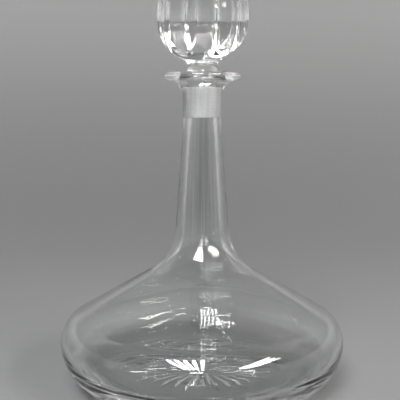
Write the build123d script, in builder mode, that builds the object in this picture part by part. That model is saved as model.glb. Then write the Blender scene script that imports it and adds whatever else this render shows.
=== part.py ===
"""Ships decanter: a wide, low glass body with a long neck, and its fluted globe stopper.

Millimetres, +Z up, the axis of turning on Z, the table at Z = 0.
"""

import os
from math import asin, cos, degrees, radians, sin, sqrt, tan

from build123d import *

os.makedirs("parts", exist_ok=True)

# Body, outside
body_r = 95.0            # widest radius, low down
heel_r = 32.0            # round of the heel, from the foot up to the widest point
shoulder_r = 20.0        # round of the shoulder, from the widest point up to the slope
slope_deg = 30.0         # slope of the shoulder, up from level
neck_root_round = 36.0   # round where the slope sweeps up into the neck

# Neck and lip, outside
waist_r = 12.8           # narrowest radius, under the lip
waist_z = 172.0          # height where the neck's taper ends
neck_lean_deg = 4.4      # lean of the neck's side below the waist
waist_round = 200.0      # soft bend between the lean and the waist
lip_r = 25.7             # radius of the turned-out lip
lip_t = 5.0              # thickness of the lip at its rim
lip_top_z = 209.7        # top of the lip

# Glass, inside
wall = 4.5               # side and slope
floor_t = 12.0           # base
bore_lean_deg = 3.6      # lean of the bore's side
bore_root_round = 34.0   # round where the slope sweeps up into the bore

# Foot and the star cut under it
ring_w = 5.0             # flat ring that the decanter stands on
dish_h = 2.0             # rise of the dished base, at the axis
star_rays = 16           # long rays, with as many short ones between them
star_inner_r = 3.0       # where a ray starts
star_wide_r = 38.0       # where a ray is widest and deepest
star_long_r = 52.0       # where a long ray ends
star_short_r = 44.0      # where a short ray ends
star_depth = 2.3
star_tip_depth = 0.1     # left at both ends of a ray
star_v_deg = 112.0       # angle of the mitred groove

# Ground joint between neck and stopper
seat_top_r = 9.9
seat_top_z = 201.4
seat_len = 21.0
seat_taper = 0.05        # radius lost per millimetre down
bore_step = 1.2          # the seat is ground this much wider than the bore below it
mouth_land = 0.8         # straight way between the seat and the mouth's round
fit_gap = 0.1            # between the two ground faces

# Stopper
globe_r = 31.0           # ball that the flutes are cut from
globe_gap = 5.3          # between the top of the lip and the ball
shank_r = 10.0           # clear waist between ball and peg
shank_round = 2.5
flutes = 8
flute_r = 24.0           # hollow of a flute, across
ridge_r = 30.2           # ridges between the flutes, at mid height
flute_end_deg = 48.0     # where a flute runs out, above and below mid height
flute_turn_deg = 14.5    # turn of the first flute from +X
peg_short = 0.6          # the peg stops this far above the seat's step
peg_chamfer = 0.8

# Places that follow from the sizes above
ring_r = body_r - heel_r
ring_inner_r = ring_r - ring_w
dish_r = (ring_inner_r**2 + dish_h**2) / (2 * dish_h)
floor_round = heel_r - floor_t   # the round inside, from the floor up to the widest point
shoulder_centre_r = body_r - shoulder_r
rim_r = lip_t / 2
flare_r = lip_r - rim_r - waist_r
seat_bottom_z = seat_top_z - seat_len
seat_bottom_r = seat_top_r - seat_taper * seat_len
bore_r = seat_bottom_r - bore_step
mouth_round = lip_top_z - seat_top_z - mouth_land
globe_z = lip_top_z + globe_gap + globe_r


def dish_z(across):
    """Height of the dished base this far from the axis."""
    return dish_h - dish_r + sqrt(dish_r**2 - across**2)


def shoulder_point(glass, angle):
    """A point on the shoulder's round, this deep in the glass, angle degrees up from level."""
    radius = shoulder_r - glass
    return (
        shoulder_centre_r + radius * cos(radians(angle)),
        heel_r + radius * sin(radians(angle)),
    )


def slope_meets(start, side_r, side_z, lean_deg):
    """Where the slope from start meets a side that leans out on its way down."""
    rise = tan(radians(slope_deg))
    lean = tan(radians(lean_deg))
    r = (side_r + lean * (side_z - start[1] - rise * start[0])) / (1 - lean * rise)
    return (r, start[1] + rise * (start[0] - r))


def round_corner(section, place, radius):
    """Round one corner of a section."""
    fillet(section.vertices().sort_by_distance(Vector(*place))[0], radius)


def star_ray(outer_r):
    """One ray of the star: a straight mitred groove that widens outward, then closes to a point."""
    with BuildPart() as ray:
        for across, depth in (
            (star_inner_r, star_tip_depth),
            (star_wide_r, star_depth),
            (outer_r, star_tip_depth),
        ):
            base = Plane(origin=(across, 0, dish_z(across)), x_dir=(0, 1, 0), z_dir=(1, 0, 0))
            with BuildSketch(base):
                half_w = 2 * depth * tan(radians(star_v_deg / 2))
                with BuildLine():
                    Polyline((0, depth), (half_w, -depth), (-half_w, -depth), (0, depth))
                make_face()
        loft(ruled=True)
    return ray.part


long_ray = star_ray(star_long_r)
short_ray = star_ray(star_short_r)

# Decanter: half of its section, turned round Z, then hollowed, ground and cut
with BuildPart() as decanter:
    slope_top = shoulder_point(0, 90 - slope_deg)
    neck_root = slope_meets(slope_top, waist_r, waist_z, neck_lean_deg)
    with BuildSketch(Plane.XZ) as outside:
        with BuildLine():
            dish_middle = ring_inner_r / 2
            ThreePointArc((0, dish_h), (dish_middle, dish_z(dish_middle)), (ring_inner_r, 0))
            Line((ring_inner_r, 0), (ring_r, 0))
            heel_middle = heel_r * sin(radians(45))
            ThreePointArc(
                (ring_r, 0),
                (ring_r + heel_middle, heel_r - heel_middle),
                (body_r, heel_r),
            )
            ThreePointArc((body_r, heel_r), shoulder_point(0, 45 - slope_deg / 2), slope_top)
            flare_middle = flare_r * cos(radians(45))
            rim_centre_r = waist_r + flare_r
            flare_z = lip_top_z - lip_t - flare_r
            Polyline(slope_top, neck_root, (waist_r, waist_z), (waist_r, flare_z))
            ThreePointArc(
                (waist_r, flare_z),
                (rim_centre_r - flare_middle, flare_z + flare_middle),
                (rim_centre_r, lip_top_z - lip_t),
            )
            ThreePointArc(
                (rim_centre_r, lip_top_z - lip_t),
                (lip_r, lip_top_z - rim_r),
                (rim_centre_r, lip_top_z),
            )
            Polyline((rim_centre_r, lip_top_z), (0, lip_top_z), (0, dish_h))
        make_face()
        round_corner(outside, neck_root, neck_root_round)
        round_corner(outside, (waist_r, waist_z), waist_round)
    revolve(axis=Axis.Z)

    side_r = body_r - wall
    inner_slope_top = shoulder_point(wall, 90 - slope_deg)
    bore_root = slope_meets(inner_slope_top, bore_r, seat_bottom_z, bore_lean_deg)
    mouth_z = lip_top_z - mouth_round
    mouth_middle = mouth_round * cos(radians(45))
    with BuildSketch(Plane.XZ) as hollow:
        with BuildLine():
            floor_end = side_r - floor_round
            floor_middle = floor_round * sin(radians(45))
            Line((0, floor_t), (floor_end, floor_t))
            ThreePointArc(
                (floor_end, floor_t),
                (floor_end + floor_middle, heel_r - floor_middle),
                (side_r, heel_r),
            )
            ThreePointArc(
                (side_r, heel_r),
                shoulder_point(wall, 45 - slope_deg / 2),
                inner_slope_top,
            )
            Polyline(
                inner_slope_top,
                bore_root,
                (bore_r, seat_bottom_z),
                (seat_bottom_r, seat_bottom_z),
                (seat_top_r, seat_top_z),
                (seat_top_r, mouth_z),
            )
            ThreePointArc(
                (seat_top_r, mouth_z),
                (seat_top_r + mouth_round - mouth_middle, mouth_z + mouth_middle),
                (seat_top_r + mouth_round, lip_top_z),
            )
            Polyline((seat_top_r + mouth_round, lip_top_z), (0, lip_top_z), (0, floor_t))
        make_face()
        round_corner(hollow, bore_root, bore_root_round)
    revolve(axis=Axis.Z, mode=Mode.SUBTRACT)

    with PolarLocations(0, star_rays, 180 / star_rays):
        add(long_ray, mode=Mode.SUBTRACT)
    with PolarLocations(0, star_rays):
        add(short_ray, mode=Mode.SUBTRACT)
decanter.part.label = "decanter"
export_step(decanter.part, "parts/decanter.step")

# Stopper: a ball with hollow flutes, and a peg ground to the neck's seat
ridge_x = ridge_r * cos(radians(180 / flutes))
ridge_y = ridge_r * sin(radians(180 / flutes))
flute_centre = ridge_x + sqrt(flute_r**2 - ridge_y**2)
end_x = globe_r * cos(radians(flute_end_deg)) - flute_centre
end_z = globe_r * sin(radians(flute_end_deg))
flute_path_r = (flute_r**2 - end_x**2 - end_z**2) / (2 * (end_x + flute_r))
flute_reach = 1.5 * degrees(asin(end_z / (flute_path_r - flute_r)))
flute_start = (flute_centre - flute_path_r, 0, globe_z)
with BuildPart() as flute:
    with BuildSketch(Plane(flute_start).rotated((0, flute_reach, 0))):
        with Locations((flute_path_r, 0)):
            Circle(flute_r)
    revolve(axis=Axis(flute_start, (0, -1, 0)), revolution_arc=2 * flute_reach)

with BuildPart() as stopper:
    with Locations((0, 0, globe_z)):
        Sphere(globe_r)
    with PolarLocations(0, flutes, flute_turn_deg):
        add(flute.part, mode=Mode.SUBTRACT)
    peg_top_r = seat_top_r - fit_gap
    peg_bottom_z = seat_bottom_z + peg_short
    peg_bottom_r = peg_top_r - seat_taper * (seat_len - peg_short)
    with BuildSketch(Plane.XZ) as peg:
        with BuildLine():
            Polyline(
                (0, peg_bottom_z),
                (peg_bottom_r - peg_chamfer, peg_bottom_z),
                (peg_bottom_r, peg_bottom_z + peg_chamfer),
                (peg_top_r, seat_top_z),
                (peg_top_r, mouth_z),
                (shank_r, lip_top_z),
                (shank_r, globe_z),
                (0, globe_z),
                (0, peg_bottom_z),
            )
        make_face()
    revolve(axis=Axis.Z)
    waist = stopper.edges().filter_by(GeomType.CIRCLE).filter_by_position(
        Axis.Z, lip_top_z + 0.1, globe_z - globe_r * sin(radians(flute_end_deg))
    )
    fillet(waist, shank_round)
stopper.part.label = "stopper"
export_step(stopper.part, "parts/stopper.step")
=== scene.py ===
"""Clear glass ships decanter and its fluted globe stopper. Metres, +Z up, the axis on Z."""

from math import acos, atan2, cos, pi, radians, sin, sqrt, tan

import bmesh
import bpy
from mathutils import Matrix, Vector


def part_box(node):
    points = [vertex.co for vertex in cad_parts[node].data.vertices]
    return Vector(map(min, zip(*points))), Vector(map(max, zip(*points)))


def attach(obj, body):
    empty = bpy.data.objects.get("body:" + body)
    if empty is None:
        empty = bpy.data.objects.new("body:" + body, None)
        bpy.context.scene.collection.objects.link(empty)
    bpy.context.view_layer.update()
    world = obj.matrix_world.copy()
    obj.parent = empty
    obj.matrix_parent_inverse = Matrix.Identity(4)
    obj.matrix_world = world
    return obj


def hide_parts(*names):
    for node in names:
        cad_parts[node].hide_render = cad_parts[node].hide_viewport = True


MM = 0.001

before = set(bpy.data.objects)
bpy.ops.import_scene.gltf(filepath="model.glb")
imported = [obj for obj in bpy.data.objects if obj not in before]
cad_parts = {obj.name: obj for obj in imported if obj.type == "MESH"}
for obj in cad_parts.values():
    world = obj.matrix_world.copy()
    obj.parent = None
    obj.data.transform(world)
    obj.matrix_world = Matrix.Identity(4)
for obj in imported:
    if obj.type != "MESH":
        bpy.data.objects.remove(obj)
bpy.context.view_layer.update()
decanter_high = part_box("decanter")[1]
stopper_low, stopper_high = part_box("stopper")

# Body, outside
BODY_R = 95.0 * MM
HEEL_R = 32.0 * MM
SHOULDER_R = 20.0 * MM
SLOPE = radians(30.0)
NECK_ROOT_ROUND = 36.0 * MM

# Neck and lip, outside
WAIST_R = 12.8 * MM
WAIST_Z = 172.0 * MM
NECK_LEAN = radians(4.4)
WAIST_ROUND = 200.0 * MM
LIP_R = 25.7 * MM
LIP_T = 5.0 * MM
LIP_TOP_Z = decanter_high[2]

# Glass, inside
WALL = 4.5 * MM
FLOOR_T = 12.0 * MM
FLOOR_ROUND = 20.0 * MM
BORE_LEAN = radians(3.6)
BORE_ROOT_ROUND = 34.0 * MM

# Foot and star
RING_W = 5.0 * MM
DISH_H = 2.0 * MM
STAR_RAYS = 16
STAR_INNER_R = 3.0 * MM
STAR_WIDE_R = 38.0 * MM
STAR_LONG_R = 52.0 * MM
STAR_SHORT_R = 44.0 * MM
STAR_DEPTH = 2.3 * MM
STAR_TIP_DEPTH = 0.1 * MM
STAR_HALF_V = radians(56.0)

# Ground joint
SEAT_TOP_R = 9.9 * MM
SEAT_TOP_Z = 201.4 * MM
SEAT_LEN = 21.0 * MM
SEAT_TAPER = 0.05
BORE_STEP = 1.2 * MM
MOUTH_LAND = 0.8 * MM
FIT_GAP = 0.1 * MM

# Stopper
GLOBE_R = 31.0 * MM
GLOBE_Z = stopper_high[2] - GLOBE_R
SHANK_R = 10.0 * MM
SHANK_ROUND = 2.5 * MM
FLUTES = 8
FLUTE_R = 24.0 * MM
RIDGE_R = 30.2 * MM
FLUTE_END = radians(48.0)
FLUTE_TURN = radians(14.5)
PEG_BOTTOM_Z = stopper_low[2]
PEG_CHAMFER = 0.8 * MM

# Waves on the floor of the hollow
RIPPLES = 150.0          # along a metre of the way outward
RIPPLE_LOBES = 2.0       # how much a ring changes on its way round
RIPPLE_H = 1.4 * MM
CALM_R = 8.0 * MM        # they fade out this near the axis

# Fineness of the meshes
STEPS_AROUND = 224
DISH_STEPS = 10
HEEL_STEPS = 40
SHOULDER_STEPS = 26
INNER_STEPS = 22         # shoulder and floor rounds inside, and both roots of the neck
WAIST_STEPS = 6
LIP_STEPS = 18
MOUTH_STEPS = 14
SEAT_STEPS = 8
SHANK_STEPS = 8
GLOBE_STEPS = 150
FLOOR_RINGS = 48
FLUTE_ROUNDS = 6         # rounds that find the hollow of a flute
MERGE_GAP = 0.002 * MM
SHARP_ANGLE = radians(28.0)

# Clear glass
GLASS_IOR = 1.53
GLASS_TINT = (0.97, 0.98, 0.975)
LIGHT_SHARE = 0.18       # of a lamp's light that passes each face
RIB_DEPTH = 0.1 * MM
WAVE_DEPTH = 0.03 * MM
RIB_RISE = 6.0           # change of a rib along a metre of height
RIB_CALM_R = 12.0 * MM   # they fade out this near the axis
# painted shade: dark streaks painted into the neck's tint
PAINTED_STREAK_FINENESS = 3.0       # streaks are this many times finer than ribs
PAINTED_STREAK_RANGE = (0.42, 0.58)
SCRATCH_TURN = 0.6       # radians
SCRATCH_STRETCH = (1.0, 0.12, 1.0)
SCRATCH_RANGE = (0.5, 0.62)
SCRATCH_ROUGH = 0.15

# Ground glass
GROUND_DARK, GROUND_LIGHT = 0.4, 0.75
GROUND_FINE, GROUND_COARSE = 0.45, 0.65
GROUND_CLEAR = 0.1
TONE_RANGE = (0.3, 0.7)
GRAIN_SHARE, RING_SHARE, STREAK_SHARE = 0.3, 0.3, 0.4
STREAK_RISE = 40.0

# Camera
IMAGE_PX = 400
FOCAL_PX = 800
SENSOR_MM = 36
EYE = Vector((-0.0015, -0.531, 0.1898))
PITCH = radians(-6.91)
ROLL = radians(-0.07)

# Room
FLOOR_GAP = 0.2 * MM
# painted light: the wall is painted paler than the floor, reaching its full level at the given
# height
FLOOR_ALBEDO, WALL_PAINTED_LIGHT = 0.23, 0.47
WALL_PAINTED_LIGHT_Z = 0.43
WALL_H, UPPER_H = 0.5, 1.5
ROOM_FLAT_R, ROOM_R = 0.5, 1.6
ROOM_STEPS = 96
FLAT_RINGS, CURVE_RINGS, UPPER_RINGS = 16, 32, 8
# painted light: floor and wall painted paler on both sides of the object
SIDE_PAINTED_LIGHT, SIDE_PAINTED_LIGHT_X = 1.5, (0.5, 1.1)
# painted shade: floor and wall painted darker towards the front
FRONT_PAINTED_SHADE, FRONT_PAINTED_SHADE_Y = 0.3, (-0.3, -1.4)
WORLD_LOW, WORLD_HIGH = 0.2, 0.45
WORLD_RISE = (0.1, 0.8)
WORLD_FRONT, WORLD_TURN = 0.1, (-1.0, 0.2)

# Ceiling strips: x and y of a row's middle, tint, strips, their pitch and width
COOL, WARM = (0.97, 0.98, 1.0), (1.0, 0.98, 0.95)
STRIP_ROWS = (
    (-0.35, -2.0, COOL, 5, 0.18, 0.07),
    (1.9, -1.8, WARM, 3, 0.30, 0.11),
    (-0.35, -5.6, WARM, 5, 0.18, 0.07),
    (1.9, -5.6, COOL, 3, 0.30, 0.11),
)
STRIP_LEN = 2.0
STRIP_Z, STRIP_LEVEL = 1.65, 52.0
GLINT_Z, GLINT_LEVEL = 1.62, 56.0

# Light crosses many glass faces in the base before it leaves
GLASS_BOUNCES = 32
GLOSS_BOUNCES = 16


# Half sections


class Section:
    """Half of a turned shape, from axis to axis, as points (r, z)."""

    def __init__(self, start):
        self.points = [start]
        self.rippled_from = None

    def to(self, place, pieces=1):
        r0, z0 = self.points[-1]
        for i in range(1, pieces + 1):
            t = i / pieces
            self.points.append((r0 + (place[0] - r0) * t, z0 + (place[1] - z0) * t))
        return self

    def arc(self, centre, radius, start, end, steps):
        for i in range(1, steps + 1):
            a = start + (end - start) * i / steps
            self.points.append((centre[0] + radius * cos(a), centre[1] + radius * sin(a)))
        return self

    def corner(self, place, onward, radius, steps):
        """Runs to the corner at place and rounds it towards onward."""
        here, turn, there = (Vector(p) for p in (self.points[-1], place, onward))
        back, ahead = (here - turn).normalized(), (there - turn).normalized()
        half = acos(max(-1, min(1, back.dot(ahead)))) / 2
        centre = turn + (back + ahead).normalized() * (radius / sin(half))
        start = turn + back * (radius / tan(half)) - centre
        end = turn + ahead * (radius / tan(half)) - centre
        a0, a1 = atan2(start.y, start.x), atan2(end.y, end.x)
        a1 += 2 * pi * round((a0 - a1) / (2 * pi))
        self.to(tuple(centre + start), pieces=2)
        return self.arc(centre, radius, a0, a1, steps)


def shoulder_point(glass, angle):
    """A point on the shoulder's round, this deep in the glass, angle up from level."""
    radius = SHOULDER_R - glass
    return (BODY_R - SHOULDER_R + radius * cos(angle), HEEL_R + radius * sin(angle))


def slope_meets(start, side_r, side_z, side_lean):
    """Where the slope from start meets a side that leans out on its way down."""
    rise, lean = tan(SLOPE), tan(side_lean)
    r = (side_r + lean * (side_z - start[1] - rise * start[0])) / (1 - lean * rise)
    return (r, start[1] + rise * (start[0] - r))


SEAT_BOTTOM_Z = SEAT_TOP_Z - SEAT_LEN
SEAT_BOTTOM_R = SEAT_TOP_R - SEAT_TAPER * SEAT_LEN
BORE_R = SEAT_BOTTOM_R - BORE_STEP
MOUTH_ROUND = LIP_TOP_Z - SEAT_TOP_Z - MOUTH_LAND
RING_R = BODY_R - HEEL_R
RING_INNER_R = RING_R - RING_W
DISH_R = (RING_INNER_R**2 + DISH_H**2) / (2 * DISH_H)
DISH_Z = DISH_H - DISH_R


def decanter_section():
    """From the middle of the dish, out and up over the lip, and down to the floor inside."""
    rim_r = LIP_T / 2
    flare_r = LIP_R - rim_r - WAIST_R
    flare_z = LIP_TOP_Z - LIP_T - flare_r
    shoulder_centre = (BODY_R - SHOULDER_R, HEEL_R)
    s = Section((0, DISH_H))
    s.arc((0, DISH_Z), DISH_R, pi / 2, acos(RING_INNER_R / DISH_R), DISH_STEPS)
    s.to((RING_R, 0))
    s.arc((RING_R, HEEL_R), HEEL_R, -pi / 2, 0, HEEL_STEPS)
    s.arc(shoulder_centre, SHOULDER_R, 0, pi / 2 - SLOPE, SHOULDER_STEPS)
    root = slope_meets(s.points[-1], WAIST_R, WAIST_Z, NECK_LEAN)
    s.corner(root, (WAIST_R, WAIST_Z), NECK_ROOT_ROUND, INNER_STEPS)
    s.corner((WAIST_R, WAIST_Z), (WAIST_R, flare_z), WAIST_ROUND, WAIST_STEPS)
    s.to((WAIST_R, flare_z), pieces=2)
    s.arc((WAIST_R + flare_r, flare_z), flare_r, pi, pi / 2, LIP_STEPS)
    s.arc((LIP_R - rim_r, LIP_TOP_Z - rim_r), rim_r, -pi / 2, pi / 2, LIP_STEPS)
    mouth_r = SEAT_TOP_R + MOUTH_ROUND
    s.to((mouth_r, LIP_TOP_Z))
    s.arc((mouth_r, LIP_TOP_Z - MOUTH_ROUND), MOUTH_ROUND, pi / 2, pi, MOUTH_STEPS)
    s.to((SEAT_TOP_R, SEAT_TOP_Z))
    s.to((SEAT_BOTTOM_R, SEAT_BOTTOM_Z), pieces=SEAT_STEPS)
    s.to((BORE_R, SEAT_BOTTOM_Z))
    inner_top = shoulder_point(WALL, pi / 2 - SLOPE)
    bore_root = slope_meets(inner_top, BORE_R, SEAT_BOTTOM_Z, BORE_LEAN)
    s.corner(bore_root, inner_top, BORE_ROOT_ROUND, INNER_STEPS)
    s.to(inner_top, pieces=2)
    s.arc(shoulder_centre, SHOULDER_R - WALL, pi / 2 - SLOPE, 0, INNER_STEPS)
    side_r = BODY_R - WALL
    s.to((side_r, FLOOR_T + FLOOR_ROUND))
    s.rippled_from = len(s.points)
    s.corner((side_r, FLOOR_T), (0, FLOOR_T), FLOOR_ROUND, INNER_STEPS)
    return s.to((0, FLOOR_T), pieces=FLOOR_RINGS)


def stopper_section():
    """From the end of the peg up to the top of the ball."""
    peg_top_r = SEAT_TOP_R - FIT_GAP
    peg_bottom_r = peg_top_r - SEAT_TAPER * (SEAT_TOP_Z - PEG_BOTTOM_Z)
    # the round between ball and waist touches the ball from outside
    round_r = SHANK_R + SHANK_ROUND
    round_z = GLOBE_Z - sqrt((GLOBE_R + SHANK_ROUND) ** 2 - round_r**2)
    touch = atan2(GLOBE_Z - round_z, -round_r)
    s = Section((0, PEG_BOTTOM_Z))
    s.to((peg_bottom_r - PEG_CHAMFER, PEG_BOTTOM_Z))
    s.to((peg_bottom_r, PEG_BOTTOM_Z + PEG_CHAMFER))
    s.to((peg_top_r, SEAT_TOP_Z), pieces=SEAT_STEPS)
    s.to((peg_top_r, SEAT_TOP_Z + MOUTH_LAND))
    s.to((SHANK_R, LIP_TOP_Z))
    s.arc((round_r, round_z), SHANK_ROUND, pi, touch, SHANK_STEPS)
    return s.arc((0, GLOBE_Z), GLOBE_R, touch - pi, pi / 2, GLOBE_STEPS)


# Geometry Nodes


class Nodes:
    """A node tree whose nodes are made in one line each."""

    def __init__(self, tree):
        self.tree = tree

    def add(self, kind, *values, out=0, **settings):
        """Makes a node, links or sets its inputs in order, and returns one of its outputs."""
        made = self.tree.nodes.new(kind)
        for name, value in settings.items():
            setattr(made, name, value)
        for socket, value in zip([s for s in made.inputs if s.enabled], values):
            if isinstance(value, bpy.types.NodeSocket):
                self.tree.links.new(value, socket)
            elif value is not None:
                socket.default_value = value
        return [s for s in made.outputs if s.enabled][out]

    def math(self, operation, *values):
        return self.add("ShaderNodeMath", *values, operation=operation)

    def times(self, *values):
        """All the values multiplied together."""
        product = values[0]
        for value in values[1:]:
            product = self.math("MULTIPLY", product, value)
        return product

    def ramp(self, value, low, high, at_low, at_high, **settings):
        """Goes from at_low to at_high while value goes from low to high."""
        return self.add("ShaderNodeMapRange", value, low, high, at_low, at_high, **settings)

    def split(self, vector):
        """The three parts of a vector."""
        return self.add("ShaderNodeSeparateXYZ", vector).node.outputs

    def join(self, x, y, z):
        return self.add("ShaderNodeCombineXYZ", x, y, z)

    def round_axis(self, place):
        """Height, distance from the axis, and the x and y of the same bearing on a unit circle."""
        x, y, z = self.split(place)
        level = self.join(x, y, 0.0)
        r = self.add("ShaderNodeVectorMath", level, operation="LENGTH")
        around = self.add("ShaderNodeVectorMath", level, operation="NORMALIZE")
        return z, r, *self.split(around)[:2]

    def noise(self, place, scale, detail):
        """Even noise from 0 to 1 at this place."""
        return self.add("ShaderNodeTexNoise", place, scale, detail, 0.5)


class GeometryTree(Nodes):
    """A geometry tree with a geometry input and output, and named inputs for its sizes."""

    def __init__(self, name, **inputs):
        super().__init__(bpy.data.node_groups.new(name, "GeometryNodeTree"))
        face = self.tree.interface
        face.new_socket("geometry", in_out="INPUT", socket_type="NodeSocketGeometry")
        for label, kind in inputs.items():
            face.new_socket(label, in_out="INPUT", socket_type="NodeSocket" + kind)
        face.new_socket("geometry", in_out="OUTPUT", socket_type="NodeSocketGeometry")
        self.inputs = self.tree.nodes.new("NodeGroupInput").outputs
        self.end = self.tree.nodes.new("NodeGroupOutput").inputs[0]

    def attribute(self, name, kind="FLOAT"):
        return self.add("GeometryNodeInputNamedAttribute", name, data_type=kind)

    def section(self):
        """The point of the half section that this point was swept from, as its r and z."""
        return self.split(self.attribute("section", "FLOAT_VECTOR"))[:2]

    def keep(self, geometry, name, value, kind):
        """Stores a value on the geometry's points under a name."""
        store = "GeometryNodeStoreNamedAttribute"
        return self.add(store, geometry, None, name, value, data_type=kind, domain="POINT")

    def sweep(self):
        """Sweeps the half section into a sheet whose points know their place round the axis."""
        position = self.add("GeometryNodeInputPosition")
        section = self.keep(self.inputs["geometry"], "section", position, "FLOAT_VECTOR")
        section = self.add("GeometryNodeMeshToCurve", section)
        path = self.add("GeometryNodeCurvePrimitiveLine", (0, 0, 0), (0, 1, 0))
        points = self.math("ADD", self.inputs["steps_around"], 1)
        path = self.add("GeometryNodeResampleCurve", path, None, points)
        path = self.keep(path, "around", self.add("GeometryNodeSplineParameter"), "FLOAT")
        return self.add("GeometryNodeCurveToMesh", path, section)

    def wrap(self, sheet, radius, turn=0.0):
        """Wraps the sheet round the axis at this radius, and closes its seam and its poles."""
        angle = self.math("MULTIPLY_ADD", self.attribute("around"), 2 * pi, turn)
        place = self.join(
            self.times(radius, self.math("COSINE", angle)),
            self.times(radius, self.math("SINE", angle)),
            self.section()[1],
        )
        shape = self.add("GeometryNodeSetPosition", sheet, None, place)
        return self.add("GeometryNodeMergeByDistance", shape, None, MERGE_GAP)

    def ripple(self, shape):
        """Rings of low waves on the floor of the hollow, as the blown glass cools in its mould."""
        floor = self.inputs["floor_height"]
        z, r, side_x, side_y = self.round_axis(self.add("GeometryNodeInputPosition"))
        outward = self.math("ADD", r, self.math("SUBTRACT", z, floor))
        place = self.join(
            self.times(side_x, self.inputs["ripple_lobes"]),
            self.times(side_y, self.inputs["ripple_lobes"]),
            self.times(outward, self.inputs["ripples"]),
        )
        waves = self.math("SUBTRACT", self.noise(place, 1.0, 1.0), 0.5)
        low = self.ramp(z, floor, self.math("ADD", floor, self.inputs["floor_round"]), 1.0, 0.0)
        off_axis = self.ramp(r, 0.0, self.inputs["calm_radius"], 0.0, 1.0)
        rippled = self.attribute("rippled")
        height = self.times(waves, self.inputs["ripple_height"], low, off_axis, rippled)
        normal = self.add("GeometryNodeInputNormal")
        shift = self.add("ShaderNodeVectorMath", normal, operation="SCALE")
        self.tree.links.new(height, shift.node.inputs["Scale"])
        return self.add("GeometryNodeSetPosition", shape, None, None, shift)

    def finish(self, shape):
        """Smooth faces, crisp edges, clear glass all over and ground glass on the joint."""
        radius, height = self.section()
        on_joint = self.times(
            self.math("LESS_THAN", radius, self.inputs["joint_radius"]),
            self.math("LESS_THAN", height, self.inputs["joint_top"]),
            self.math("GREATER_THAN", height, self.inputs["joint_bottom"]),
        )
        edge_angle = self.add("GeometryNodeInputMeshEdgeAngle")
        steep = self.math("GREATER_THAN", edge_angle, self.inputs["sharp_angle"])
        shape = self.add("GeometryNodeSetShadeSmooth", shape, None, True)
        shape = self.add("GeometryNodeSetShadeSmooth", shape, steep, False, domain="EDGE")
        shape = self.add("GeometryNodeRealizeInstances", shape)
        shape = self.add("GeometryNodeSetMaterial", shape, None, self.inputs["clear_glass"])
        shape = self.add("GeometryNodeSetMaterial", shape, on_joint, self.inputs["ground_glass"])
        self.tree.links.new(shape, self.end)
        return self.tree


COMMON_INPUTS = {
    "steps_around": "Int",
    "sharp_angle": "Float",
    "joint_radius": "Float",
    "joint_top": "Float",
    "joint_bottom": "Float",
    "clear_glass": "Material",
    "ground_glass": "Material",
}


def decanter_tree():
    """Turns the body and cuts the long and short rays of the star under its base."""
    n = GeometryTree(
        "turned_body",
        **COMMON_INPUTS,
        long_ray="Object",
        short_ray="Object",
        star_rays="Int",
        ripples="Float",
        ripple_lobes="Float",
        ripple_height="Float",
        calm_radius="Float",
        floor_height="Float",
        floor_round="Float",
    )
    body = n.wrap(n.sweep(), n.section()[0])
    body = n.ripple(n.add("GeometryNodeFlipFaces", body))
    cut = n.tree.nodes.new("GeometryNodeMeshBoolean")
    cut.operation, cut.solver = "DIFFERENCE", "MANIFOLD"
    n.tree.links.new(body, cut.inputs[0])
    centres = n.add("GeometryNodeMeshLine", n.inputs["star_rays"], (0, 0, 0), (0, 0, 0))
    step = n.math("DIVIDE", 2 * pi, n.inputs["star_rays"])
    for name, shift in (("long_ray", 0.5), ("short_ray", 0.0)):
        place = n.math("ADD", n.add("GeometryNodeInputIndex"), shift)
        turned = n.join(0, 0, n.times(place, step))
        ray = n.add("GeometryNodeObjectInfo", n.inputs[name]).node.outputs["Geometry"]
        rays = n.add("GeometryNodeInstanceOnPoints", centres, None, ray, None, None, turned)
        n.tree.links.new(rays, cut.inputs[1])
    return n.finish(cut.outputs[0])


def stopper_tree():
    """Turns the stopper and presses the hollow flutes into its ball."""
    n = GeometryTree(
        "fluted_stopper",
        **COMMON_INPUTS,
        flutes="Int",
        flute_radius="Float",
        flute_centre="Float",
        flute_path_radius="Float",
        globe_radius="Float",
        globe_height="Float",
        turn="Float",
    )
    plain_radius, height = n.section()
    rise = n.math("SUBTRACT", height, n.inputs["globe_height"])
    lobe = n.math("DIVIDE", 2 * pi, n.inputs["flutes"])
    half_lobe = n.times(lobe, 0.5)
    angle = n.times(n.attribute("around"), 2 * pi)
    off_middle = n.math("SUBTRACT", n.math("FLOORED_MODULO", angle, lobe), half_lobe)
    path_centre = n.math("SUBTRACT", n.inputs["flute_centre"], n.inputs["flute_path_radius"])

    # the hollow's radius here depends on how far it is off the flute's middle, so it is
    # found in a few rounds, each nearer than the last
    first = n.tree.nodes.new("GeometryNodeRepeatInput")
    last = n.tree.nodes.new("GeometryNodeRepeatOutput")
    first.pair_with_output(last)
    last.repeat_items.clear()
    last.repeat_items.new("FLOAT", "radius")
    first.inputs["Iterations"].default_value = FLUTE_ROUNDS
    n.tree.links.new(plain_radius, first.inputs["radius"])
    aside = n.times(first.outputs["radius"], n.math("SINE", off_middle))
    tube = n.math("POWER", n.inputs["flute_radius"], 2)
    in_tube = n.math("SUBTRACT", tube, n.math("POWER", aside, 2))
    reach = n.math("SUBTRACT", n.inputs["flute_path_radius"], n.math("SQRT", in_tube))
    along = n.math("SUBTRACT", n.math("POWER", reach, 2), n.math("POWER", rise, 2))
    forward = n.math("ADD", path_centre, n.math("SQRT", along))
    found = n.math("DIVIDE", forward, n.math("COSINE", off_middle))
    n.tree.links.new(found, last.inputs["radius"])

    on_globe = n.math("LESS_THAN", n.math("ABSOLUTE", rise), n.inputs["globe_radius"])
    fluted = n.math("MINIMUM", plain_radius, last.outputs["radius"])
    radius = n.add("GeometryNodeSwitch", on_globe, plain_radius, fluted, input_type="FLOAT")
    turn = n.math("SUBTRACT", n.inputs["turn"], half_lobe)
    shape = n.wrap(n.sweep(), radius, turn)
    return n.finish(n.add("GeometryNodeFlipFaces", shape))


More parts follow.
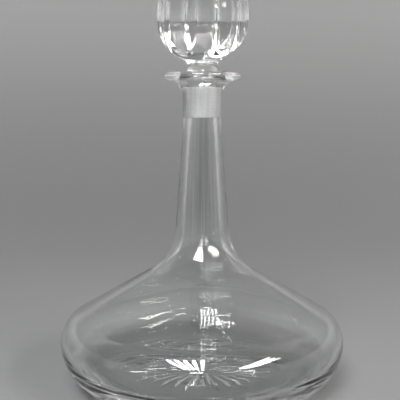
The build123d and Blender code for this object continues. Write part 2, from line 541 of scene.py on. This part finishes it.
def star_ray(outer_r):
    """A cutter for one ray: a mitred groove that widens outward, then closes to a point."""
    mesh = bmesh.new()
    rings = []
    for across, depth in (
        (STAR_INNER_R, STAR_TIP_DEPTH),
        (STAR_WIDE_R, STAR_DEPTH),
        (outer_r, STAR_TIP_DEPTH),
    ):
        half_w = 2 * depth * tan(STAR_HALF_V)
        places = ((0, depth), (half_w, -depth), (-half_w, -depth))
        base_z = DISH_Z + sqrt(DISH_R**2 - across**2)
        rings.append([mesh.verts.new((across, y, base_z + z)) for y, z in places])
    for near, far in zip(rings, rings[1:]):
        for i in range(3):
            j = (i + 1) % 3
            mesh.faces.new((near[i], far[i], far[j], near[j]))
    mesh.faces.new(rings[0])
    mesh.faces.new(reversed(rings[-1]))
    bmesh.ops.recalc_face_normals(mesh, faces=mesh.faces)
    return mesh_object("star_ray", mesh)


def mesh_object(name, made):
    """An object of what was made."""
    mesh = bpy.data.meshes.new(name)
    made.to_mesh(mesh)
    made.free()
    piece = bpy.data.objects.new(name, mesh)
    bpy.context.scene.collection.objects.link(piece)
    return piece


def section_object(name, section):
    """The half section as a chain of edges, which a tree then turns."""
    chain = bmesh.new()
    rippled = chain.verts.layers.float.new("rippled")
    verts = [chain.verts.new((r, z, 0)) for r, z in section.points]
    if section.rippled_from:
        for vert in verts[section.rippled_from :]:
            vert[rippled] = 1.0
    for a, b in zip(verts, verts[1:]):
        chain.edges.new((a, b))
    return mesh_object(name, chain)


def grow(piece, tree, **sizes):
    """Runs a tree on a piece and keeps the result as its plain mesh."""
    modifier = piece.modifiers.new(tree.name, "NODES")
    modifier.node_group = tree
    for socket in tree.interface.items_tree:
        if socket.in_out == "INPUT" and socket.name in sizes:
            modifier[socket.identifier] = sizes[socket.name]
    seen = piece.evaluated_get(bpy.context.evaluated_depsgraph_get())
    grown = bpy.data.meshes.new_from_object(seen)
    piece.modifiers.clear()
    piece.data = grown
    return piece


# Materials


class ShaderGroup(Nodes):
    """A shader node group with named inputs and outputs."""

    def __init__(self, name, inputs, outputs):
        super().__init__(bpy.data.node_groups.new(name, "ShaderNodeTree"))
        face = self.tree.interface
        for label, value in inputs.items():
            socket = face.new_socket(label, in_out="INPUT", socket_type="NodeSocketFloat")
            socket.default_value = value
        for label, kind in outputs.items():
            face.new_socket(label, in_out="OUTPUT", socket_type="NodeSocket" + kind)
        self.inputs = self.tree.nodes.new("NodeGroupInput").outputs
        self.ends = self.tree.nodes.new("NodeGroupOutput").inputs

    def end(self, **results):
        for label, result in results.items():
            self.tree.links.new(result, self.ends[label])
        return self.tree

    def bump(self, height):
        return self.add("ShaderNodeBump", 1.0, 1.0, None, height)


def flowing_surface():
    """Ribs that run up the neck and soft waves all over, as fire polishing leaves, and dark
    streaks up the neck that are painted shade in the glass's tint.
    """
    g = ShaderGroup(
        "flowing_surface",
        {
            "ribs": 7.0,
            "rib_depth": RIB_DEPTH,
            "ribs_start_z": 0.085,
            "ribs_full_z": 0.125,
            "ribs_fade_z": 0.185,
            "ribs_end_z": 0.205,
            "waves": 30.0,
            "wave_depth": WAVE_DEPTH,
            # painted shade: how dark the neck's streaks are painted
            "streak_dark": 0.8,
        },
        {"tint": "Color", "normal": "Vector"},
    )
    place = g.add("ShaderNodeTexCoord").node.outputs["Object"]
    z, r, side_x, side_y = g.round_axis(place)
    ribs = g.inputs["ribs"]
    rib_place = g.join(g.times(side_x, ribs), g.times(side_y, ribs), g.times(z, RIB_RISE))
    start, full = g.inputs["ribs_start_z"], g.inputs["ribs_full_z"]
    on_neck = g.times(
        g.ramp(z, start, full, 0.0, 1.0, interpolation_type="SMOOTHSTEP"),
        g.ramp(z, g.inputs["ribs_fade_z"], g.inputs["ribs_end_z"], 1.0, 0.0),
    )
    off_axis = g.ramp(r, 0.0, RIB_CALM_R, 0.0, 1.0)
    raised = g.times(g.noise(rib_place, 1.0, 3.0), on_neck, off_axis)
    waves = g.times(g.noise(place, g.inputs["waves"], 1.0), g.inputs["wave_depth"])
    height = g.math("MULTIPLY_ADD", raised, g.inputs["rib_depth"], waves)
    # painted shade: dark streaks up the neck darken the glass's tint
    streaks = g.noise(rib_place, PAINTED_STREAK_FINENESS, 2.0)
    streaks = g.ramp(streaks, *PAINTED_STREAK_RANGE, g.inputs["streak_dark"], 1.0)
    shade = g.ramp(on_neck, 0.0, 1.0, 1.0, streaks)
    tint = g.add("ShaderNodeCombineColor", *(g.times(shade, part) for part in GLASS_TINT))
    return g.end(tint=tint, normal=g.bump(height))


def grinding():
    """Grain and the rings that the grinding tool leaves, with a few taller streaks."""
    g = ShaderGroup(
        "grinding",
        {"grain": 2500.0, "rings": 1800.0, "streaks": 14.0, "depth": 0.01 * MM},
        {"tone": "Float", "normal": "Vector"},
    )
    place = g.add("ShaderNodeTexCoord").node.outputs["Object"]
    z, _, side_x, side_y = g.round_axis(place)
    grain = g.noise(place, g.inputs["grain"], 2.0)
    rings = g.noise(g.join(0.0, 0.0, g.times(z, g.inputs["rings"])), 1.0, 2.0)
    streaks = g.inputs["streaks"]
    streak_place = g.join(
        g.times(side_x, streaks), g.times(side_y, streaks), g.times(z, STREAK_RISE)
    )
    streaks = g.times(g.noise(streak_place, 1.0, 2.0), STREAK_SHARE)
    tone = g.math("MULTIPLY_ADD", rings, RING_SHARE, streaks)
    tone = g.math("MULTIPLY_ADD", grain, GRAIN_SHARE, tone)
    height = g.times(g.math("ADD", grain, rings), g.inputs["depth"])
    return g.end(tone=tone, normal=g.bump(height))


def wear():
    """A mask of short fine scratches, for the ring that slides on a table."""
    g = ShaderGroup("wear", {"scratches": 900.0, "below_z": 0.8 * MM}, {"mask": "Float"})
    place = g.add("ShaderNodeTexCoord").node.outputs["Object"]
    turned = g.add("ShaderNodeMapping", place, None, (0, 0, SCRATCH_TURN), SCRATCH_STRETCH)
    lines = g.ramp(g.noise(turned, g.inputs["scratches"], 3.0), *SCRATCH_RANGE, 0.0, 1.0)
    low = g.ramp(g.split(place)[2], 0.0, g.inputs["below_z"], 1.0, 0.0)
    return g.end(mask=g.times(lines, low))


def placed(n, group):
    """Puts a node group in a material, and returns its outputs."""
    node = n.tree.nodes.new("ShaderNodeGroup")
    node.node_tree = group
    return node.outputs


def material(name):
    """A material, the nodes of its tree, and its shader."""
    made = bpy.data.materials.new(name)
    made.use_nodes = True
    n = Nodes(made.node_tree)
    shader = made.node_tree.nodes["Principled BSDF"]
    return made, n, shader


def let_light_through(n, shader, share):
    """Lets this share of a lamp's light pass each face, which a glass shader alone blocks."""
    lamp_ray = n.add("ShaderNodeLightPath").node.outputs["Is Shadow Ray"]
    passed = n.math("MULTIPLY", lamp_ray, share)
    clear = n.add("ShaderNodeBsdfTransparent")
    mixed = n.add("ShaderNodeMixShader", passed, shader.outputs["BSDF"], clear)
    n.tree.links.new(mixed, n.tree.nodes["Material Output"].inputs["Surface"])


def clear_glass():
    """Polished glass, a little scratched where it stands."""
    made, n, shader = material("clear_glass")
    shader.inputs["IOR"].default_value = GLASS_IOR
    shader.inputs["Transmission Weight"].default_value = 1
    surface = placed(n, flowing_surface())
    # the tint carries the painted shade of the neck's dark streaks
    n.tree.links.new(surface["tint"], shader.inputs["Base Color"])
    n.tree.links.new(surface["normal"], shader.inputs["Normal"])
    scratched = n.times(placed(n, wear())["mask"], SCRATCH_ROUGH)
    n.tree.links.new(scratched, shader.inputs["Roughness"])
    let_light_through(n, shader, LIGHT_SHARE)
    return made


def ground_glass():
    """The frosted faces of the joint, paler and coarser where the tool bit more."""
    made, n, shader = material("ground_glass")
    shader.inputs["IOR"].default_value = GLASS_IOR
    shader.inputs["Transmission Weight"].default_value = GROUND_CLEAR
    ground = placed(n, grinding())
    tone = n.ramp(ground["tone"], *TONE_RANGE, GROUND_DARK, GROUND_LIGHT)
    rough = n.ramp(ground["tone"], *TONE_RANGE, GROUND_FINE, GROUND_COARSE)
    n.tree.links.new(tone, shader.inputs["Base Color"])
    n.tree.links.new(rough, shader.inputs["Roughness"])
    n.tree.links.new(ground["normal"], shader.inputs["Normal"])
    let_light_through(n, shader, LIGHT_SHARE)
    return made


# The two pieces

COMMON_SIZES = {
    "steps_around": STEPS_AROUND,
    "sharp_angle": SHARP_ANGLE,
    "joint_radius": SEAT_TOP_R + BORE_STEP,
    "joint_top": SEAT_TOP_Z,
    "joint_bottom": SEAT_BOTTOM_Z,
    "clear_glass": clear_glass(),
    "ground_glass": ground_glass(),
}

long_ray, short_ray = star_ray(STAR_LONG_R), star_ray(STAR_SHORT_R)
decanter = grow(
    section_object("decanter_glass", decanter_section()),
    decanter_tree(),
    **COMMON_SIZES,
    long_ray=long_ray,
    short_ray=short_ray,
    star_rays=STAR_RAYS,
    ripples=RIPPLES,
    ripple_lobes=RIPPLE_LOBES,
    ripple_height=RIPPLE_H,
    calm_radius=CALM_R,
    floor_height=FLOOR_T,
    floor_round=FLOOR_ROUND,
)
for ray in (long_ray, short_ray):
    bpy.data.objects.remove(ray)
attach(decanter, "decanter")
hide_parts("decanter")

ridge_x = RIDGE_R * cos(pi / FLUTES)
ridge_y = RIDGE_R * sin(pi / FLUTES)
flute_centre = ridge_x + sqrt(FLUTE_R**2 - ridge_y**2)
end_x = GLOBE_R * cos(FLUTE_END) - flute_centre
end_z = GLOBE_R * sin(FLUTE_END)
stopper = grow(
    section_object("stopper_glass", stopper_section()),
    stopper_tree(),
    **COMMON_SIZES,
    flutes=FLUTES,
    flute_radius=FLUTE_R,
    flute_centre=flute_centre,
    flute_path_radius=(FLUTE_R**2 - end_x**2 - end_z**2) / (2 * (end_x + FLUTE_R)),
    globe_radius=GLOBE_R,
    globe_height=GLOBE_Z,
    turn=FLUTE_TURN,
)
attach(stopper, "stopper")
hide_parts("stopper")

# Room, lamps and camera


def room_painted_light_and_shade():
    """The colour of floor and wall: painted light makes the wall paler upward and paler on both
    sides of the object, and painted shade makes it darker towards the front.
    """
    made, n, shader = material("room_painted_light_and_shade")
    place = n.add("ShaderNodeTexCoord").node.outputs["Object"]
    x, y, z = n.split(place)
    # painted light: the wall turns paler upward
    up = n.ramp(z, 0.0, WALL_PAINTED_LIGHT_Z, FLOOR_ALBEDO, WALL_PAINTED_LIGHT)
    # painted light: paler on both sides of the object
    painted_side_light = n.ramp(n.math("ABSOLUTE", x), *SIDE_PAINTED_LIGHT_X, 1.0, SIDE_PAINTED_LIGHT)
    # painted shade: darker towards the front
    before = n.ramp(y, *FRONT_PAINTED_SHADE_Y, 1.0, FRONT_PAINTED_SHADE)
    n.tree.links.new(n.times(up, n.times(painted_side_light, before)), shader.inputs["Base Color"])
    shader.inputs["Roughness"].default_value = 1
    shader.inputs["Specular IOR Level"].default_value = 0
    return made


def stage_rings(name, rings, made, closed):
    """Part of the room: rings (radius, height) as one smooth sheet, its middle closed or not."""
    mesh = bmesh.new()
    turns = [2 * pi * j / ROOM_STEPS for j in range(ROOM_STEPS)]
    loops = []
    for r, z in rings:
        loops.append([mesh.verts.new((r * cos(t), r * sin(t), z)) for t in turns])
    for inner, outer in zip(loops, loops[1:]):
        for j in range(ROOM_STEPS):
            k = (j + 1) % ROOM_STEPS
            mesh.faces.new((inner[j], outer[j], outer[k], inner[k]))
    if closed:
        mesh.faces.new(loops[0])
    for face in mesh.faces:
        face.smooth = True
    sheet = mesh_object(name, mesh)
    sheet.data.materials.append(made)
    return sheet


def room():
    """A round floor that curves up into a low wall, and an upper wall for the camera alone."""
    made = room_painted_light_and_shade()
    rings = [(ROOM_FLAT_R * i / FLAT_RINGS, -FLOOR_GAP) for i in range(1, FLAT_RINGS + 1)]
    for i in range(1, CURVE_RINGS + 1):
        a = i / CURVE_RINGS * pi / 2
        height = WALL_H * (1 - cos(a)) - FLOOR_GAP
        rings.append((ROOM_FLAT_R + (ROOM_R - ROOM_FLAT_R) * sin(a), height))
    stage_rings("pale_floor", rings, made, closed=True)
    step = (UPPER_H - WALL_H) / UPPER_RINGS
    upper = [(ROOM_R, WALL_H - FLOOR_GAP + step * i) for i in range(UPPER_RINGS + 1)]
    wall = stage_rings("upper_wall", upper, made, closed=False)
    wall.visible_diffuse = wall.visible_glossy = wall.visible_transmission = False
    wall.visible_shadow = False


def strip_lamp(name, x, y, z, width, radiance, tint):
    """A long lamp of this brightness that faces the floor."""
    light = bpy.data.lights.new(name, "AREA")
    light.shape = "RECTANGLE"
    light.size, light.size_y = width, STRIP_LEN
    light.energy = radiance * pi * width * STRIP_LEN
    light.color = tint
    lamp = bpy.data.objects.new(name, light)
    lamp.location = (x, y, z)
    lamp.visible_camera = False
    bpy.context.scene.collection.objects.link(lamp)
    return lamp


def ceiling():
    """Rows of strips. Each is two lamps: one lights surfaces, one is what the glass mirrors."""
    for k, (x0, y0, tint, strips, pitch, width) in enumerate(STRIP_ROWS):
        for i in range(strips):
            x = x0 + (i - (strips - 1) / 2) * pitch
            lamp = strip_lamp(f"strip_{k}_{i}", x, y0, STRIP_Z, width, STRIP_LEVEL, tint)
            lamp.visible_glossy = lamp.visible_transmission = False
            lamp = strip_lamp(f"glint_{k}_{i}", x, y0, GLINT_Z, width, GLINT_LEVEL, tint)
            lamp.visible_diffuse = False


def world_light():
    """Soft light from all round, weaker low down and from the front."""
    world = bpy.data.worlds.new("room")
    bpy.context.scene.world = world
    world.use_nodes = True
    n = Nodes(world.node_tree)
    _, y, z = n.split(n.add("ShaderNodeTexCoord").node.outputs["Generated"])
    level = n.times(
        n.ramp(z, *WORLD_RISE, WORLD_LOW, WORLD_HIGH),
        n.ramp(y, *WORLD_TURN, WORLD_FRONT, 1.0),
    )
    background = world.node_tree.nodes["Background"]
    n.tree.links.new(level, background.inputs["Color"])
    background.inputs["Strength"].default_value = 1


def set_camera():
    lens = bpy.data.cameras.new("camera")
    lens.sensor_width = SENSOR_MM
    lens.lens = SENSOR_MM * FOCAL_PX / IMAGE_PX
    camera = bpy.data.objects.new("camera", lens)
    camera.location = EYE
    camera.rotation_euler = (pi / 2 + PITCH, ROLL, 0)
    bpy.context.scene.collection.objects.link(camera)
    bpy.context.scene.camera = camera


room()
ceiling()
world_light()
set_camera()
scene = bpy.context.scene
scene.view_settings.view_transform = "Standard"
scene.cycles.max_bounces = scene.cycles.transmission_bounces = GLASS_BOUNCES
scene.cycles.glossy_bounces = GLOSS_BOUNCES
# a strip seen after two weak reflections in the glass keeps its brightness
scene.cycles.sample_clamp_indirect = GLINT_LEVEL
